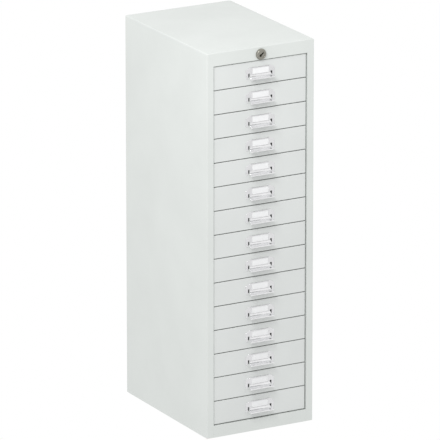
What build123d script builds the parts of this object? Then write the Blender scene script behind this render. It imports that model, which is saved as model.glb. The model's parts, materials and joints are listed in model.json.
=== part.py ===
from build123d import *
import math
import os

# Steel cabinet with a column of shallow drawers behind one lock.
# It stands on the floor: +Z up, the front looks along -Y and +X is to the right of someone facing it.
# The origin is the middle of the shell's footprint, at floor level. Lengths are millimetres, angles degrees.

# Cabinet shell
WIDTH = 283.0
DEPTH = 394.0
SHEET = 1.0
STILE = 17.5
TOP_RAIL = 32.0
BOTTOM_RAIL = 29.0
RETURN = 12.0
REAR_FLANGE = 14.0
BASE_FLANGE = 24.0
CORNER_RADIUS = 3.0
FOLD_RADIUS = 1.6
MOUTH_RADIUS = 0.7
SEAM = 0.1

# Drawers
DRAWERS = 15
FRONT_HEIGHT = 55.8
FRONT_GAP = 2.0
FRONT_RECESS = 3.0
FRONT_RETURN = 10.0
FRONT_RADIUS = 1.3
TRAY_LIFT = 4.0
TRAY_HEADROOM = 7.8
TRAY_BACK_DROP = 6.0
TRAY_INSET = 10.0
TRAY_BACK_SPACE = 17.0
TRAY_FOLD = 2.2
FLANGE = 9.0
DRAWER_KEPT = 58.7

# Runners
RUNNER_SETBACK = 2.0
RUNNER_FRONT_SPACE = 4.0
RUNNER_BACK_SPACE = 8.0
RUNNER_END_SPACE = 3.0
LEDGE_SIDE_CLEARANCE = 1.5
SLIDE_CLEARANCE = 0.3
STOP_TAB_HEIGHT = 6.0
STOP_TAB_LENGTH = 2.0
STOP_SIDE_CLEARANCE = 1.0
STOP_LUG_LENGTH = 8.0

# Handle: a pressed plate with a card frame, a finger lip below it and two tabs through the drawer front
HANDLE_TOP = 14.5
HANDLE_SHEET = 1.0
HANDLE_CORNER = 1.8
HANDLE_EDGE = 0.4
SHOULDER = 1.2
EAR_WIDTH = 5.5
EAR_TOP = 8.0
EAR_SIDE_DROP = 9.0
EAR_DROP = 12.5
EAR_CHAMFER = 3.0
RELIEF_WIDTH = 6.2
RELIEF_TOP = 0.3
LIP_OUT = 15.0
LIP_DROP = 6.5
LIP_FLARE = 7.2
LIP_MARGIN = 1.5
LIP_CORNER = 4.0
BEAD_RADIUS = 1.6
BEAD_RISE = 0.3
CARD_WIDTH = 46.0
CARD_HEIGHT = 15.0
CARD_THICK = 0.5
CARD_LIFT = 5.5
CARD_FIT = 0.2
CARD_FRAME = 1.6
CARD_FRAME_SHEET = 0.5
CARD_SIDE_LIP = 1.0
CARD_TOP_LIP = 0.6
CARD_TOP_BAND = 0.8
CARD_LEDGE = 0.7
TAB_HEIGHT = 8.4
TAB_FOOT = 5.0
TAB_CLEARANCE = 0.3
TAB_BEND_SPACE = 3.7

# Lock and the linkage behind it
LOCK_DROP = 18.3
BEZEL_RADIUS = 13.2
BEZEL_FACE_RADIUS = 11.4
BEZEL_PROUD = 5.0
BEZEL_STEP = 2.0
HOUSING_RADIUS = 9.7
HOUSING_LENGTH = 24.0
HOUSING_HOLE_CLEARANCE = 0.2
PLUG_RADIUS = 8.2
PLUG_CLEARANCE = 0.06
PLUG_SUNK = 0.8
PLUG_TAIL = 4.0
KEYWAY_WIDTH = 3.2
KEYWAY_HEIGHT = 13.0
KEYWAY_DEPTH = 9.0
KEYWAY_EYE_RADIUS = 3.1
KEYWAY_TILT = 50.0
NUT_RADIUS = 12.8
NUT_THICK = 4.0
NUT_SIDES = 6
SPINDLE_RADIUS = 3.0
SPINDLE_CLEARANCE = 0.06
CRANK_RADIUS = 12.0
CRANK_WIDTH = 9.0
CRANK_THICK = 3.0
CRANK_TURN = 90.0
PEG_RADIUS = 2.5
PEG_SLOT_CLEARANCE = 0.55
PEG_OVERHANG = 1.5
BAR_WIDTH = 20.0
BAR_THICK = 2.0
BAR_BACK_SPACE = 5.0
CRANK_BAR_SPACE = 2.0
BAR_HEAD_SPACE = 1.0
BAR_END_DROP = 12.0
HOOK_WIDTH = 10.0
HOOK_THICK = 3.0
HOOK_BELOW_TRAY = 2.0
HOOK_TIP_RISE = 4.0
HOOK_REACH = 9.0
NOTCH_SIDE_CLEARANCE = 4.0
NOTCH_TOP_CLEARANCE = 1.5
NOTCH_FRONT_CLEARANCE = 5.0
GUIDE_WALL = 4.0
GUIDE_HEIGHT = 16.0
GUIDE_CLEARANCE = 0.3
GUIDE_ABOVE_HOOK = 30.0
GUIDE_DRAWERS_IN = 2
REST_LUG_HEIGHT = 4.0
BRACKET_WIDTH = 30.0
BRACKET_THICK = 2.0
BRACKET_FLANGE = 15.0
BRACKET_BELOW = 9.0
BRACKET_BACK_SPACE = 45.0

# Tolerance for edges that lie in one plane
NEAR = 0.000001

# Places worked out from the sizes above
PITCH = FRONT_HEIGHT + FRONT_GAP
OPENING_HEIGHT = DRAWERS * PITCH + FRONT_GAP
HEIGHT = BOTTOM_RAIL + OPENING_HEIGHT + TOP_RAIL
OPENING_TOP = HEIGHT - TOP_RAIL
SIDE = WIDTH / 2
FRONT = -DEPTH / 2
BACK = DEPTH / 2
MOUTH = SIDE - STILE
INNER_SIDE = SIDE - SHEET
BACK_PANEL_FRONT = BACK - 2 * SHEET

FRONT_HALF = MOUTH - FRONT_GAP
FRONT_FACE = FRONT + FRONT_RECESS
TRAY_HALF = FRONT_HALF - TRAY_INSET
TRAY_BACK = BACK - TRAY_BACK_SPACE
FLANGE_HALF = TRAY_HALF + FLANGE
FLANGE_FRONT = FRONT_FACE + FRONT_RETURN + SHEET
TRAY_TOP = FRONT_HEIGHT - TRAY_HEADROOM
TRAY_BACK_TOP = TRAY_TOP - TRAY_BACK_DROP

RUNNER_WEB = MOUTH + RUNNER_SETBACK
RUNNER_FRONT = FRONT + RETURN + RUNNER_FRONT_SPACE
RUNNER_BACK = BACK_PANEL_FRONT - RUNNER_BACK_SPACE
RUNNER_BOTTOM = BOTTOM_RAIL + RUNNER_END_SPACE
RUNNER_TOP = OPENING_TOP - RUNNER_END_SPACE
LEDGE_HALF = TRAY_HALF + LEDGE_SIDE_CLEARANCE
LEDGE_TOP = TRAY_TOP - SHEET - SLIDE_CLEARANCE
STOP_TAB_HALF = FLANGE_HALF + STOP_SIDE_CLEARANCE
STOP_LUG_HALF = RUNNER_WEB - STOP_SIDE_CLEARANCE
STOP_LUG_FRONT = TRAY_BACK - DRAWER_KEPT

CARD_TOP = CARD_LIFT + CARD_HEIGHT / 2
CARD_BOTTOM = CARD_LIFT - CARD_HEIGHT / 2
CARD_SPACE = CARD_THICK + 2 * CARD_FIT
POCKET_HALF = CARD_WIDTH / 2 + CARD_FIT
POCKET_BOTTOM = CARD_BOTTOM - CARD_FIT
CARD_FRAME_HALF = POCKET_HALF + CARD_FRAME
CARD_FRAME_TOP = CARD_TOP + CARD_FIT + CARD_TOP_BAND
CARD_FRAME_DEPTH = CARD_SPACE + CARD_FRAME_SHEET
LIP_TOP = POCKET_BOTTOM - CARD_LEDGE
LIP_ROOT_HALF = CARD_FRAME_HALF + LIP_MARGIN
EAR_INNER = LIP_ROOT_HALF + RELIEF_WIDTH
HANDLE_HALF = EAR_INNER + EAR_WIDTH
TAB_TOP = RELIEF_TOP - TAB_CLEARANCE
TAB_BOTTOM = TAB_TOP - TAB_HEIGHT

LOCK_HEIGHT = HEIGHT - LOCK_DROP
PLUG_BACK = FRONT + HOUSING_LENGTH + PLUG_TAIL
BAR_BACK = BACK_PANEL_FRONT - BAR_BACK_SPACE
BAR_FRONT = BAR_BACK - BAR_THICK
CRANK_BACK = BAR_FRONT - CRANK_BAR_SPACE
HALF_TURN = math.radians(CRANK_TURN / 2)
PEG_SIDE = -CRANK_RADIUS * math.cos(HALF_TURN)
BAR_LIFT = 2 * CRANK_RADIUS * math.sin(HALF_TURN)
PEG_HEIGHT = LOCK_HEIGHT - BAR_LIFT / 2
BAR_MIDDLE = PEG_SIDE - CRANK_RADIUS * (1 - math.cos(HALF_TURN)) / 2
BAR_LEFT = BAR_MIDDLE - BAR_WIDTH / 2
BAR_RIGHT = BAR_MIDDLE + BAR_WIDTH / 2
HOOK_FRONT = TRAY_BACK - HOOK_REACH
NOTCH_TOP = TRAY_LIFT - HOOK_BELOW_TRAY + BAR_LIFT + NOTCH_TOP_CLEARANCE
GUIDE_DRAWERS = (GUIDE_DRAWERS_IN, DRAWERS + 1 - GUIDE_DRAWERS_IN)


def block(x0, x1, y0, y1, z0, z1):
    """A box between two corners."""
    middle = ((x0 + x1) / 2, (y0 + y1) / 2, (z0 + z1) / 2)
    return Pos(*middle) * Box(abs(x1 - x0), abs(y1 - y0), abs(z1 - z0))


def both_sides(half, inner, y0, y1, z0, z1):
    """The same box on the left and on the right of the middle."""
    right = block(inner, half, y0, y1, z0, z1)
    left = block(-half, -inner, y0, y1, z0, z1)
    return left, right


def rod(radius, x, z, y0, y1):
    """A cylinder along Y between two depths."""
    return extrude(Plane.XZ.offset(-y0) * Pos(x, z) * Circle(radius), amount=y0 - y1)


def front_bottom(number):
    """Height of the lower edge of a drawer front, counted from 1 at the top."""
    return OPENING_TOP - number * PITCH


def edges_at(part, y):
    """The edges of a part that lie wholly at one depth."""
    found = []
    for edge in part.edges():
        box = edge.bounding_box()
        if abs(box.min.Y - y) < NEAR and abs(box.max.Y - y) < NEAR:
            found.append(edge)
    return ShapeList(found)


def make_outer_shell():
    """Both sides, the top, the stiles and the top rail, folded from one sheet."""
    shell = block(-SIDE, SIDE, FRONT, BACK, 0, HEIGHT)
    shell = fillet(shell.edges().filter_by(Axis.Y).group_by(Axis.Z)[-1], CORNER_RADIUS)
    rim = edges_at(shell, FRONT).sort_by(Axis.Z)[1:]
    shell = fillet(rim, FOLD_RADIUS)
    shell -= block(-INNER_SIDE, INNER_SIDE, FRONT + SHEET, BACK - SHEET, -SHEET, HEIGHT - SHEET)
    window = SIDE - REAR_FLANGE
    shell -= block(-window, window, BACK - 2 * SHEET, BACK + SHEET, -SHEET, HEIGHT - REAR_FLANGE)
    shell -= block(-MOUTH, MOUTH, FRONT - SHEET, FRONT + 2 * SHEET, -SHEET, OPENING_TOP)
    jamb = both_sides(MOUTH + SHEET, MOUTH, FRONT, FRONT + RETURN, BOTTOM_RAIL, OPENING_TOP + SHEET)
    for flange in jamb:
        shell += flange
    shell += block(-MOUTH, MOUTH, FRONT, FRONT + RETURN, OPENING_TOP, OPENING_TOP + SHEET)
    mouth = [e for e in edges_at(shell, FRONT) if on_mouth(e)]
    shell = fillet(mouth, MOUTH_RADIUS)
    hole = HOUSING_RADIUS + HOUSING_HOLE_CLEARANCE
    return shell - rod(hole, 0, LOCK_HEIGHT, FRONT - SHEET, FRONT + 2 * SHEET)


def on_mouth(edge):
    """Whether an edge of the front face runs along the top of the drawer opening."""
    box = edge.bounding_box()
    return abs(box.min.Z - OPENING_TOP) < SEAM and abs(box.max.Z - OPENING_TOP) < SEAM


def make_base_pan():
    """The floor of the cabinet, turned up at its edges, with the bottom rail in front."""
    half = INNER_SIDE - SEAM
    back = BACK_PANEL_FRONT - SEAM
    rail_half = MOUTH - SEAM
    pan = block(-half, half, FRONT + SHEET + SEAM, back, 0, SHEET)
    pan += block(-rail_half, rail_half, FRONT, FRONT + RETURN, 0, SHEET)
    pan += block(-rail_half, rail_half, FRONT, FRONT + SHEET, 0, BOTTOM_RAIL)
    pan += block(-rail_half, rail_half, FRONT, FRONT + RETURN, BOTTOM_RAIL - SHEET, BOTTOM_RAIL)
    pan += block(-half, half, back - SHEET, back, 0, BASE_FLANGE)
    for flange in both_sides(half, half - SHEET, FRONT + RETURN, back, 0, BASE_FLANGE):
        pan += flange
    top_edge = edges_at(pan, FRONT).group_by(Axis.Z)[-1]
    return fillet(top_edge, MOUTH_RADIUS)


def make_back_panel():
    """A flat sheet behind the shell's rear flanges."""
    half = INNER_SIDE - SEAM
    return block(-half, half, BACK_PANEL_FRONT, BACK - SHEET, 0, HEIGHT - SHEET - SEAM)


def make_runner_panel(side):
    """A channel on the wall of one side, -1 or 1, with a ledge and a stop tab for each drawer."""
    panel = block(RUNNER_WEB, RUNNER_WEB + SHEET, RUNNER_FRONT, RUNNER_BACK, RUNNER_BOTTOM, RUNNER_TOP)
    for y in (RUNNER_FRONT, RUNNER_BACK - SHEET):
        panel += block(RUNNER_WEB, INNER_SIDE, y, y + SHEET, RUNNER_BOTTOM, RUNNER_TOP)
    for number in range(1, DRAWERS + 1):
        top = front_bottom(number) + LEDGE_TOP
        panel += block(LEDGE_HALF, RUNNER_WEB, RUNNER_FRONT, RUNNER_BACK, top - SHEET, top)
        tab_back = RUNNER_FRONT + STOP_TAB_LENGTH
        panel += block(STOP_TAB_HALF, RUNNER_WEB, RUNNER_FRONT, tab_back, top, top + STOP_TAB_HEIGHT)
    return panel if side > 0 else mirror(panel, Plane.YZ)


def make_drawer():
    """A drawer folded from sheet, with its front's lower edge at height 0."""
    front_back = FRONT_FACE + FRONT_RETURN
    drawer = block(-FRONT_HALF, FRONT_HALF, FRONT_FACE, front_back, 0, FRONT_HEIGHT)
    drawer = fillet(edges_at(drawer, FRONT_FACE), FRONT_RADIUS)
    inside = FRONT_HALF - SHEET
    drawer -= block(-inside, inside, FRONT_FACE + SHEET, front_back + SHEET, SHEET, FRONT_HEIGHT - SHEET)

    tray = block(-TRAY_HALF, TRAY_HALF, FRONT_FACE + SHEET, TRAY_BACK, TRAY_LIFT, TRAY_TOP)
    tray = fillet(tray.edges().filter_by(Axis.Y).group_by(Axis.Z)[0], TRAY_FOLD)
    hollow = TRAY_HALF - SHEET
    rim = TRAY_TOP + SHEET
    space = block(-hollow, hollow, FRONT_FACE + SHEET, TRAY_BACK - SHEET, TRAY_LIFT + SHEET, rim)
    tray -= fillet(space.edges().filter_by(Axis.Y).group_by(Axis.Z)[0], TRAY_FOLD - SHEET)
    tray -= block(-hollow, hollow, TRAY_BACK - 2 * SHEET, TRAY_BACK + SHEET, TRAY_BACK_TOP, rim)
    drawer += tray

    for flange in both_sides(FLANGE_HALF, hollow, FLANGE_FRONT, TRAY_BACK, TRAY_TOP - SHEET, TRAY_TOP):
        drawer += flange
    lug_back = STOP_LUG_FRONT + STOP_LUG_LENGTH
    lugs = both_sides(STOP_LUG_HALF, FLANGE_HALF, STOP_LUG_FRONT, lug_back, TRAY_TOP - SHEET, TRAY_TOP)
    for lug in lugs:
        drawer += lug

    notch_half = HOOK_WIDTH / 2 + NOTCH_SIDE_CLEARANCE
    notch_left, notch_right = BAR_MIDDLE - notch_half, BAR_MIDDLE + notch_half
    notch_front = HOOK_FRONT - NOTCH_FRONT_CLEARANCE
    drawer -= block(notch_left, notch_right, notch_front, TRAY_BACK + SHEET, TRAY_LIFT - SHEET, NOTCH_TOP)
    middle = FRONT_HEIGHT / 2
    outer = EAR_INNER + TAB_CLEARANCE
    inner = EAR_INNER - HANDLE_SHEET - TAB_BEND_SPACE
    before, behind = FRONT_FACE - SHEET, FRONT_FACE + 2 * SHEET
    low, high = middle + TAB_BOTTOM - TAB_CLEARANCE, middle + RELIEF_TOP
    for slot in both_sides(outer, inner, before, behind, low, high):
        drawer -= slot
    return drawer


def on_handle_rim(shape):
    """Whether an edge of the handle's plate is on its outer outline, away from the relief slots."""
    at = shape.center()
    return at.Z > RELIEF_TOP + NEAR or abs(at.X) > EAR_INNER + NEAR


def make_handle_plate():
    """The flat of the handle, with an ear on each side and a relief slot between each ear and the lip."""
    right = [
        (LIP_ROOT_HALF + SHOULDER, HANDLE_TOP),
        (HANDLE_HALF, EAR_TOP),
        (HANDLE_HALF, -EAR_SIDE_DROP),
        (HANDLE_HALF - EAR_CHAMFER, -EAR_DROP),
        (EAR_INNER, -EAR_DROP),
        (EAR_INNER, RELIEF_TOP),
        (LIP_ROOT_HALF, RELIEF_TOP),
        (LIP_ROOT_HALF, LIP_TOP),
    ]
    left = [(-x, z) for x, z in reversed(right)]
    plate = extrude(Plane.XZ * make_face(Polyline(*right, *left, close=True)), HANDLE_SHEET)
    corners = plate.edges().filter_by(Axis.Y).filter_by(on_handle_rim)
    plate = fillet(corners, HANDLE_CORNER)
    return fillet(edges_at(plate, -HANDLE_SHEET).filter_by(on_handle_rim), HANDLE_EDGE)


def make_card_frame():
    """The raised frame round the card, with a slot at the top that the card slides in through."""
    front = -HANDLE_SHEET - CARD_FRAME_DEPTH
    frame = block(-CARD_FRAME_HALF, CARD_FRAME_HALF, front, -HANDLE_SHEET, LIP_TOP, CARD_FRAME_TOP)
    frame = fillet(edges_at(frame, front).sort_by(Axis.Z)[1:], HANDLE_EDGE)
    pocket_front = -HANDLE_SHEET - CARD_SPACE
    slot_top = CARD_FRAME_TOP + SHEET
    frame -= block(-POCKET_HALF, POCKET_HALF, pocket_front, -HANDLE_SHEET, POCKET_BOTTOM, slot_top)
    window = CARD_WIDTH / 2 - CARD_SIDE_LIP
    window_top = CARD_TOP - CARD_TOP_LIP
    return frame - block(-window, window, front - SHEET, -HANDLE_SHEET, POCKET_BOTTOM, window_top)


def lip_section(out, drop):
    """A quarter of an ellipse, towards the drawer and downwards from its centre."""
    return Ellipse(out, drop) & Pos(out / 2, -drop / 2) * Rectangle(out, drop)


def make_lip():
    """The flared lip under the card, with a rolled front edge that the fingertips catch on."""
    top_out = LIP_OUT - HANDLE_SHEET - CARD_FRAME_DEPTH
    section = lip_section(LIP_OUT, LIP_DROP + HANDLE_SHEET) - lip_section(top_out, LIP_DROP)
    section += Pos(0, BEAD_RISE - LIP_DROP - BEAD_RADIUS) * Circle(BEAD_RADIUS)
    end = LIP_OUT + BEAD_RADIUS
    end_half = LIP_ROOT_HALF + LIP_FLARE * end / LIP_OUT
    lip = extrude(Plane.YZ * Pos(-LIP_OUT, LIP_TOP) * section, end_half, both=True)
    corners = [(-LIP_ROOT_HALF, 0), (LIP_ROOT_HALF, 0), (end_half, -end), (-end_half, -end)]
    plan = extrude(Plane.XY.offset(-LIP_OUT) * make_face(Polyline(*corners, close=True)), LIP_OUT)
    plan = fillet(plan.edges().filter_by(Axis.Z).group_by(Axis.Y)[0], LIP_CORNER)
    return lip & plan


def make_handle():
    """The whole handle, centred on height 0 at the drawer face."""
    handle = make_handle_plate() + make_card_frame() + make_lip()
    back = SHEET + HANDLE_SHEET
    inner = EAR_INNER - HANDLE_SHEET
    for leg in both_sides(EAR_INNER, inner, -HANDLE_SHEET, back, TAB_BOTTOM, TAB_TOP):
        handle += leg
    for foot in both_sides(EAR_INNER + TAB_FOOT, inner, SHEET, back, TAB_BOTTOM, TAB_TOP):
        handle += foot
    return handle


def make_label_card():
    """The paper card behind the handle's frame."""
    back = -HANDLE_SHEET - CARD_FIT
    half = CARD_WIDTH / 2
    return block(-half, half, back - CARD_THICK, back, CARD_BOTTOM, CARD_TOP)


def turned(points):
    """A solid of revolution about the lock's axis. Each point is a radius and a depth."""
    outline = make_face(Polyline(*[(radius, depth) for radius, depth in points], close=True))
    return Pos(0, 0, LOCK_HEIGHT) * revolve(Plane.XY * outline, Axis.Y)


def make_lock_housing():
    """The lock's chromed bezel and threaded barrel."""
    bore = PLUG_RADIUS + PLUG_CLEARANCE
    points = [
        (bore, FRONT - BEZEL_PROUD),
        (BEZEL_FACE_RADIUS, FRONT - BEZEL_PROUD),
        (BEZEL_RADIUS, FRONT - BEZEL_STEP),
        (BEZEL_RADIUS, FRONT),
        (HOUSING_RADIUS, FRONT),
        (HOUSING_RADIUS, FRONT + HOUSING_LENGTH),
        (bore, FRONT + HOUSING_LENGTH),
    ]
    return turned(points)


def make_lock_plug():
    """The key plug, with a keyway across its face."""
    face = FRONT - BEZEL_PROUD + PLUG_SUNK
    plug = rod(PLUG_RADIUS, 0, LOCK_HEIGHT, face, PLUG_BACK)
    eye = Pos(0, KEYWAY_EYE_RADIUS - KEYWAY_HEIGHT / 2) * Circle(KEYWAY_EYE_RADIUS)
    slot = Rectangle(KEYWAY_WIDTH, KEYWAY_HEIGHT) + eye
    keyway = Plane.XZ.offset(-face - KEYWAY_DEPTH) * Pos(0, LOCK_HEIGHT) * Rot(0, 0, -KEYWAY_TILT) * slot
    return plug - extrude(keyway, KEYWAY_DEPTH)


def make_lock_nut():
    """The hexagon nut that clamps the housing behind the top rail."""
    bore = HOUSING_RADIUS + SEAM
    at = Plane.XZ.offset(-FRONT - SHEET - NUT_THICK) * Pos(0, LOCK_HEIGHT)
    return extrude(at * (RegularPolygon(NUT_RADIUS, NUT_SIDES) - Circle(bore)), NUT_THICK)


def make_lock_spindle():
    """The rod from the plug to the back of the cabinet, with the crank and peg that lift the locking bar."""
    spindle = rod(SPINDLE_RADIUS, 0, LOCK_HEIGHT, PLUG_BACK, CRANK_BACK)
    arm = SlotCenterToCenter(CRANK_RADIUS, CRANK_WIDTH)
    middle = Pos(PEG_SIDE / 2, (LOCK_HEIGHT + PEG_HEIGHT) / 2) * Rot(0, 0, CRANK_TURN / 2)
    spindle += extrude(Plane.XZ.offset(-CRANK_BACK) * middle * arm, CRANK_THICK)
    return spindle + rod(PEG_RADIUS, PEG_SIDE, PEG_HEIGHT, CRANK_BACK, BAR_BACK + PEG_OVERHANG)


def make_spindle_bracket():
    """The hanger under the top that carries the back end of the spindle."""
    back = BACK_PANEL_FRONT - BRACKET_BACK_SPACE
    ceiling = HEIGHT - SHEET
    half = BRACKET_WIDTH / 2
    bracket = block(-half, half, back - BRACKET_THICK, back, LOCK_HEIGHT - BRACKET_BELOW, ceiling)
    bracket += block(-half, half, back - BRACKET_FLANGE, back, ceiling - BRACKET_THICK, ceiling)
    bore = SPINDLE_RADIUS + SPINDLE_CLEARANCE
    return bracket - rod(bore, 0, LOCK_HEIGHT, back - BRACKET_FLANGE, back + BRACKET_THICK)


def hook_low(number):
    """Height of the underside of a drawer's hook, with the bar at rest."""
    return front_bottom(number) + TRAY_LIFT - HOOK_BELOW_TRAY - HOOK_THICK


def make_locking_bar():
    """The strip behind the drawers that lifts a hook into each of them."""
    top = HEIGHT - SHEET - BAR_LIFT - BAR_HEAD_SPACE
    bottom = hook_low(DRAWERS) - BAR_END_DROP
    bar = block(BAR_LEFT, BAR_RIGHT, BAR_FRONT, BAR_BACK, bottom, top)
    slot_half = PEG_RADIUS + PEG_SLOT_CLEARANCE
    slot_left, slot_right = -CRANK_RADIUS - slot_half, PEG_SIDE + slot_half
    slot_low, slot_high = PEG_HEIGHT - slot_half, PEG_HEIGHT + slot_half
    bar -= block(slot_left, slot_right, BAR_FRONT - SHEET, BAR_BACK + SHEET, slot_low, slot_high)
    left, right = BAR_MIDDLE - HOOK_WIDTH / 2, BAR_MIDDLE + HOOK_WIDTH / 2
    for number in range(1, DRAWERS + 1):
        low = hook_low(number)
        bar += block(left, right, HOOK_FRONT, BAR_FRONT, low, low + HOOK_THICK)
        tip_top = front_bottom(number) + TRAY_LIFT + HOOK_TIP_RISE
        bar += block(left, right, HOOK_FRONT, HOOK_FRONT + HOOK_THICK, low, tip_top)
    lug = guide_low(max(GUIDE_DRAWERS)) + GUIDE_HEIGHT + GUIDE_CLEARANCE
    lug_left, lug_right = BAR_LEFT - GUIDE_WALL, BAR_RIGHT + GUIDE_WALL
    return bar + block(lug_left, lug_right, BAR_FRONT, BAR_BACK, lug, lug + REST_LUG_HEIGHT)


def guide_low(number):
    """Height of the underside of the guide that sits above a drawer's hook."""
    return hook_low(number) + GUIDE_ABOVE_HOOK


def make_bar_guides():
    """Two blocks on the back panel that the locking bar slides in."""
    gap = GUIDE_CLEARANCE
    left, right = BAR_LEFT - GUIDE_WALL, BAR_RIGHT + GUIDE_WALL
    guides = []
    for number in GUIDE_DRAWERS:
        low = guide_low(number)
        high = low + GUIDE_HEIGHT
        guide = block(left, right, BAR_FRONT - gap - SHEET, BACK_PANEL_FRONT, low, high)
        inner_left, inner_right = BAR_LEFT - gap, BAR_RIGHT + gap
        guide -= block(inner_left, inner_right, BAR_FRONT - gap, BAR_BACK + gap, low - gap, high + gap)
        guides.append(guide)
    return Compound(children=guides)


def main():
    os.makedirs("parts", exist_ok=True)
    parts = {
        "outer_shell": make_outer_shell(),
        "base_pan": make_base_pan(),
        "back_panel": make_back_panel(),
        "runner_panel_left": make_runner_panel(-1),
        "runner_panel_right": make_runner_panel(1),
        "lock_housing": make_lock_housing(),
        "lock_plug": make_lock_plug(),
        "lock_nut": make_lock_nut(),
        "lock_spindle": make_lock_spindle(),
        "spindle_bracket": make_spindle_bracket(),
        "locking_bar": make_locking_bar(),
        "bar_guides": make_bar_guides(),
    }
    drawer, handle, card = make_drawer(), make_handle(), make_label_card()
    for number in range(1, DRAWERS + 1):
        place = Pos(0, 0, front_bottom(number))
        on_face = place * Pos(0, FRONT_FACE, FRONT_HEIGHT / 2)
        parts[f"drawer_{number:02d}"] = place * drawer
        parts[f"handle_{number:02d}"] = on_face * handle
        parts[f"label_card_{number:02d}"] = on_face * card
    for name, part in parts.items():
        export_step(part, f"parts/{name}.step")


main()
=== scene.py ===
"""Studio view of a steel cabinet with a column of shallow drawers.

Lengths are metres in the frame of the CAD model: +Z up, the front looks along -Y.
"""

import json
import math

import bmesh
import bpy
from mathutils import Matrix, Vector


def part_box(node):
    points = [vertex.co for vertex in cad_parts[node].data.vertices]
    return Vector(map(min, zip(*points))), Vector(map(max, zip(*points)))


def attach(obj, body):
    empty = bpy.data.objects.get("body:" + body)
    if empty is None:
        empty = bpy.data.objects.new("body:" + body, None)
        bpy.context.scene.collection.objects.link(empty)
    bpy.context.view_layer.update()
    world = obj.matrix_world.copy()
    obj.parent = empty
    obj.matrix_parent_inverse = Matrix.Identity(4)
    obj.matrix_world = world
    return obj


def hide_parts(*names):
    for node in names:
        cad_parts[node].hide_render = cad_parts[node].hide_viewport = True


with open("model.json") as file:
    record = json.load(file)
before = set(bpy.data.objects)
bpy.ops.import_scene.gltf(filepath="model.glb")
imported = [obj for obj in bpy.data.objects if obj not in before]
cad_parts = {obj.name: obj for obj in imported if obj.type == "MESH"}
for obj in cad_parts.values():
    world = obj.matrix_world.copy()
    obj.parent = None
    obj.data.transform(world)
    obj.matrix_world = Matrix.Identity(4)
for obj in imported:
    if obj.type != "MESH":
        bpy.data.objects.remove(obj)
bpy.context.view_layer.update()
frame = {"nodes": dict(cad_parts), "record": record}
MM = 0.001
WHITE = (1, 1, 1, 1)

# The photograph's view
FRAME_PIXELS = 440
SENSOR = 36.0
PIXELS_PER_METRE = 426.0
CAMERA_AZIMUTH = math.radians(-29.1)
CAMERA_ELEVATION = math.radians(17.0)
CAMERA_DISTANCE = 14.0
VIEW_RIGHT_PIXELS = 0.9
VIEW_UP_PIXELS = -1.9

# Lock bezel
BEZEL_RADIUS = 13.2 * MM
BEZEL_FACE_RADIUS = 11.4 * MM
BEZEL_BORE = 8.26 * MM
BARREL_RADIUS = 9.7 * MM
BEZEL_PROUD = 5.0 * MM
BEZEL_RIM = 2.0 * MM
BORE_ROUND = 0.7 * MM
FACE_ROUND = 0.6 * MM
RIM_FRONT_ROUND = 0.4 * MM
RIM_BACK_ROUND = 0.3 * MM
BEZEL_SIDES = 128
ROUND_STEPS = 4
SAME_POINT = 0.0001 * MM

# Light
SKY_STRENGTH = 1.0
DIM_STRENGTH = 0.86
DIM_DIRECTION = (0.46, -0.84, -0.29)
DIM_START = 0.9
DIM_END = 0.97
SOFTBOX_PLACE = (-1.1, -1.1, 2.0)
SOFTBOX_SIZE = 0.8
SOFTBOX_POWER = 19.0

# Finishes, with patterns as (cells per metre, octaves) and bumps as (strength, depth)
PATTERN_ENDS = (0.3, 0.7)
SHELL_COLOUR = (0.607, 0.632, 0.614)
DRAWER_COLOUR = (0.616, 0.635, 0.625)
PAINT_DARKER = 0.975
PAINT_LIGHTER = 1.015
PAINT_CLOUDS = (9, 3)
PAINT_ROUGHNESS = (0.38, 0.52)
PAINT_SMEARS = (60, 4)
PAINT_SHINE = 0.4
PAINT_PEEL = (900, 2)
PAINT_BUMP = (0.12, 0.1 * MM)
HANDLE_COLOUR = (0.86, 0.86, 0.87)
HANDLE_ROUGHNESS = (0.10, 0.22)
# The lock's chrome is darkened to a grey that stands in for dark surroundings mirrored in it: a
# painted dark reflection.
LOCK_COLOUR_WITH_PAINTED_DARK_REFLECTION = (0.34, 0.33, 0.29)
LOCK_ROUGHNESS = (0.12, 0.24)
PLATING_DULLER = 0.93
PLATING_CLOUDS = (70, 3)
PLATING_SMEARS = (180, 5)
PLATING_WAVES = (240, 2)
PLATING_BUMP = (0.06, 0.2 * MM)
ZINC_TONES = ((0.52, 0.53, 0.54), (0.68, 0.69, 0.70))
ZINC_SPANGLES_PER_METRE = 130
ZINC_ROUGHNESS = (0.34, 0.55)
ZINC_SMEARS = (90, 4)
ZINC_GRAIN = (700, 3)
ZINC_BUMP = (0.08, 0.1 * MM)
CARD_TONES = ((0.735, 0.74, 0.745), (0.79, 0.795, 0.80))
CARD_FIBRES = (700, 6)
CARD_ROUGHNESS = (0.75, 0.95)
CARD_SMEARS = (300, 3)
CARD_GRAIN = (2200, 4)
CARD_BUMP = (0.1, 0.05 * MM)
NYLON_TONES = ((0.76, 0.75, 0.71), (0.82, 0.81, 0.77))
NYLON_CLOUDS = (40, 3)
NYLON_ROUGHNESS = (0.4, 0.6)
NYLON_SMEARS = (150, 3)
NYLON_GRAIN = (1200, 2)
NYLON_BUMP = (0.1, 0.05 * MM)


def subpart_slots():
    """The material slot of each CAD node."""
    return {part["node"]: part["material_slot"] for part in frame["record"]["subparts"]}


# Materials

def new_material(name):
    """An empty node material, its shader and the object's own coordinates in metres."""
    material = bpy.data.materials.new(name)
    material.use_nodes = True
    tree = material.node_tree
    where = tree.nodes.new("ShaderNodeTexCoord").outputs["Object"]
    return material, tree, tree.nodes["Principled BSDF"], where


def noise(tree, pattern, where):
    """A noise texture with a pattern's scale and detail."""
    scale, detail = pattern
    node = tree.nodes.new("ShaderNodeTexNoise")
    node.inputs["Scale"].default_value = scale
    node.inputs["Detail"].default_value = detail
    tree.links.new(where, node.inputs["Vector"])
    return node.outputs["Fac"]


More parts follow.
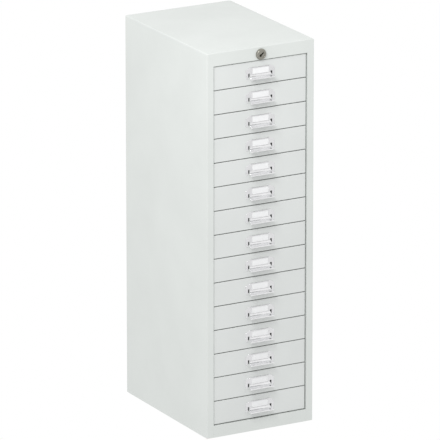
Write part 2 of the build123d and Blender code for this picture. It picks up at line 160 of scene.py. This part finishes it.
def tint(tree, shader, value, tones):
    """A shader's colour, blended from two tones over the middle of a pattern's range."""
    node = tree.nodes.new("ShaderNodeValToRGB")
    for element, place, tone in zip(node.color_ramp.elements, PATTERN_ENDS, tones):
        element.position = place
        element.color = (*tone, 1)
    tree.links.new(value, node.inputs["Fac"])
    tree.links.new(node.outputs["Color"], shader.inputs["Base Color"])


def span(tree, value, limits, source=(0, 1)):
    """A value stretched from the source's range to the limits."""
    node = tree.nodes.new("ShaderNodeMapRange")
    for socket, end in zip(("From Min", "From Max", "To Min", "To Max"), (*source, *limits)):
        node.inputs[socket].default_value = end
    tree.links.new(value, node.inputs["Value"])
    return node.outputs["Result"]


def bump(tree, shader, height, size):
    """A bump on a shader's normal."""
    strength, depth = size
    node = tree.nodes.new("ShaderNodeBump")
    node.inputs["Strength"].default_value = strength
    node.inputs["Distance"].default_value = depth
    tree.links.new(height, node.inputs["Height"])
    tree.links.new(node.outputs["Normal"], shader.inputs["Normal"])


def surface(tree, shader, where, smears, roughness, grain, size):
    """Smears of roughness and a fine bump on a shader."""
    tree.links.new(span(tree, noise(tree, smears, where), roughness), shader.inputs["Roughness"])
    bump(tree, shader, noise(tree, grain, where), size)


def scaled(colour, factor):
    """A colour made darker or lighter."""
    return tuple(factor * channel for channel in colour)


def painted_steel(name, colour):
    """Light satin powder coat with an orange-peel surface and faint uneven tone."""
    material, tree, shader, where = new_material(name)
    tones = scaled(colour, PAINT_DARKER), scaled(colour, PAINT_LIGHTER)
    tint(tree, shader, noise(tree, PAINT_CLOUDS, where), tones)
    shader.inputs["Specular IOR Level"].default_value = PAINT_SHINE
    surface(tree, shader, where, PAINT_SMEARS, PAINT_ROUGHNESS, PAINT_PEEL, PAINT_BUMP)
    return material


def plated_steel(name, colour, roughness):
    """Metal plating with faint smears and a slightly wavy pressed surface."""
    material, tree, shader, where = new_material(name)
    tones = scaled(colour, PLATING_DULLER), colour
    tint(tree, shader, noise(tree, PLATING_CLOUDS, where), tones)
    shader.inputs["Metallic"].default_value = 1.0
    surface(tree, shader, where, PLATING_SMEARS, roughness, PLATING_WAVES, PLATING_BUMP)
    return material


def zinc_sheet(name):
    """Grey zinc-plated sheet with a spangle."""
    material, tree, shader, where = new_material(name)
    cells = tree.nodes.new("ShaderNodeTexVoronoi")
    cells.inputs["Scale"].default_value = ZINC_SPANGLES_PER_METRE
    tree.links.new(where, cells.inputs["Vector"])
    tint(tree, shader, cells.outputs["Color"], ZINC_TONES)
    shader.inputs["Metallic"].default_value = 1.0
    surface(tree, shader, where, ZINC_SMEARS, ZINC_ROUGHNESS, ZINC_GRAIN, ZINC_BUMP)
    return material


def paper(name):
    """Blank white card with a faint fibre grain."""
    material, tree, shader, where = new_material(name)
    tint(tree, shader, noise(tree, CARD_FIBRES, where), CARD_TONES)
    surface(tree, shader, where, CARD_SMEARS, CARD_ROUGHNESS, CARD_GRAIN, CARD_BUMP)
    return material


def nylon(name):
    """Off-white moulded plastic."""
    material, tree, shader, where = new_material(name)
    tint(tree, shader, noise(tree, NYLON_CLOUDS, where), NYLON_TONES)
    surface(tree, shader, where, NYLON_SMEARS, NYLON_ROUGHNESS, NYLON_GRAIN, NYLON_BUMP)
    return material


def make_materials():
    """One finish for each material slot of the record."""
    return {
        "shell_paint": painted_steel("shell_paint", SHELL_COLOUR),
        "drawer_paint": painted_steel("drawer_paint", DRAWER_COLOUR),
        "handle_plating": plated_steel("handle_plating", HANDLE_COLOUR, HANDLE_ROUGHNESS),
        # The lock plating's colour is darkened to grey as a painted dark reflection.
        "lock_plating": plated_steel("lock_plating", LOCK_COLOUR_WITH_PAINTED_DARK_REFLECTION, LOCK_ROUGHNESS),
        "card": paper("card"),
        "zinc_steel": zinc_sheet("zinc_steel"),
        "guide_plastic": nylon("guide_plastic"),
    }


# Lock bezel

def rounded_outline(corners):
    """The points of a closed outline whose corners (radius, y, rounding) are rounded off by curves."""
    points = []
    for i, (radius, y, rounding) in enumerate(corners):
        corner = Vector((radius, y))
        if rounding == 0:
            points.append(corner)
            continue
        before = Vector(corners[i - 1][:2])
        after = Vector(corners[(i + 1) % len(corners)][:2])
        start = corner + rounding * (before - corner).normalized()
        end = corner + rounding * (after - corner).normalized()
        for step in range(ROUND_STEPS + 1):
            share = step / ROUND_STEPS
            points.append(start.lerp(corner, share).lerp(corner.lerp(end, share), share))
    return points


def turned_object(name, outline, centre_x, centre_z):
    """A smooth object turned from an outline of (radius, y) about an axis along Y."""
    build = bmesh.new()
    turns = [2 * math.pi * side / BEZEL_SIDES for side in range(BEZEL_SIDES)]
    rows = []
    for radius, y in outline:
        places = [(centre_x + radius * math.cos(t), y, centre_z + radius * math.sin(t)) for t in turns]
        rows.append([build.verts.new(place) for place in places])
    for low, high in zip(rows, rows[1:] + rows[:1]):
        for side in range(BEZEL_SIDES):
            after = (side + 1) % BEZEL_SIDES
            build.faces.new((low[side], low[after], high[after], high[side]))
    bmesh.ops.remove_doubles(build, verts=build.verts, dist=SAME_POINT)
    bmesh.ops.recalc_face_normals(build, faces=build.faces)
    mesh = bpy.data.meshes.new(name)
    build.to_mesh(mesh)
    build.free()
    mesh.shade_smooth()
    turned = bpy.data.objects.new(name, mesh)
    bpy.context.scene.collection.objects.link(turned)
    return turned


def make_lock_bezel(material):
    """The lock's bezel turned with rounded steps, in place of its CAD solid."""
    low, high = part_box("lock_housing")
    face, back = low[1], high[1]
    rail = face + BEZEL_PROUD
    outline = rounded_outline([
        (BEZEL_BORE, back, 0),
        (BEZEL_BORE, face, BORE_ROUND),
        (BEZEL_FACE_RADIUS, face, FACE_ROUND),
        (BEZEL_RADIUS, rail - BEZEL_RIM, RIM_FRONT_ROUND),
        (BEZEL_RADIUS, rail, RIM_BACK_ROUND),
        (BARREL_RADIUS, rail, 0),
        (BARREL_RADIUS, back, 0),
    ])
    bezel = turned_object("lock_bezel", outline, (low[0] + high[0]) / 2, (low[2] + high[2]) / 2)
    bezel.data.materials.append(material)
    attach(bezel, "cabinet")
    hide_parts("lock_housing")


# Studio

def make_sky():
    """A white sky, a little dimmer low on the front right."""
    world = bpy.data.worlds.new("studio")
    bpy.context.scene.world = world
    world.use_nodes = True
    tree = world.node_tree
    background = tree.nodes["Background"]
    background.inputs["Color"].default_value = WHITE
    nearness = tree.nodes.new("ShaderNodeVectorMath")
    nearness.operation = "DOT_PRODUCT"
    nearness.inputs[1].default_value = DIM_DIRECTION
    tree.links.new(tree.nodes.new("ShaderNodeTexCoord").outputs["Generated"], nearness.inputs[0])
    limits = SKY_STRENGTH, DIM_STRENGTH
    strength = span(tree, nearness.outputs["Value"], limits, (DIM_START, DIM_END))
    tree.links.new(strength, background.inputs["Strength"])


def make_softbox(target):
    """A soft lamp above the front left corner."""
    data = bpy.data.lights.new("softbox", "AREA")
    data.size = SOFTBOX_SIZE
    data.energy = SOFTBOX_POWER
    softbox = bpy.data.objects.new("softbox", data)
    softbox.location = SOFTBOX_PLACE
    softbox.rotation_euler = (target - softbox.location).to_track_quat("-Z", "Y").to_euler()
    bpy.context.scene.collection.objects.link(softbox)


def make_camera(target):
    """A long lens on the middle of the shell, at the photograph's angle and scale."""
    flat = math.cos(CAMERA_ELEVATION)
    away = Vector((
        math.sin(CAMERA_AZIMUTH) * flat,
        -math.cos(CAMERA_AZIMUTH) * flat,
        math.sin(CAMERA_ELEVATION),
    ))
    data = bpy.data.cameras.new("camera")
    data.sensor_width = SENSOR
    data.lens = PIXELS_PER_METRE * CAMERA_DISTANCE * SENSOR / FRAME_PIXELS
    data.shift_x = VIEW_RIGHT_PIXELS / FRAME_PIXELS
    data.shift_y = VIEW_UP_PIXELS / FRAME_PIXELS
    camera = bpy.data.objects.new("camera", data)
    camera.location = target + away * CAMERA_DISTANCE
    camera.rotation_euler = (-away).to_track_quat("-Z", "Y").to_euler()
    bpy.context.scene.collection.objects.link(camera)
    bpy.context.scene.camera = camera


materials = make_materials()
for node, slot in subpart_slots().items():
    for material_slot in frame["nodes"][node].material_slots:
        material_slot.material = materials[slot]
make_lock_bezel(materials["lock_plating"])
shell_low, shell_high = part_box("outer_shell")
shell_middle = (Vector(shell_low) + Vector(shell_high)) / 2
make_sky()
make_softbox(shell_middle)
make_camera(shell_middle)
bpy.context.scene.view_settings.view_transform = "Standard"
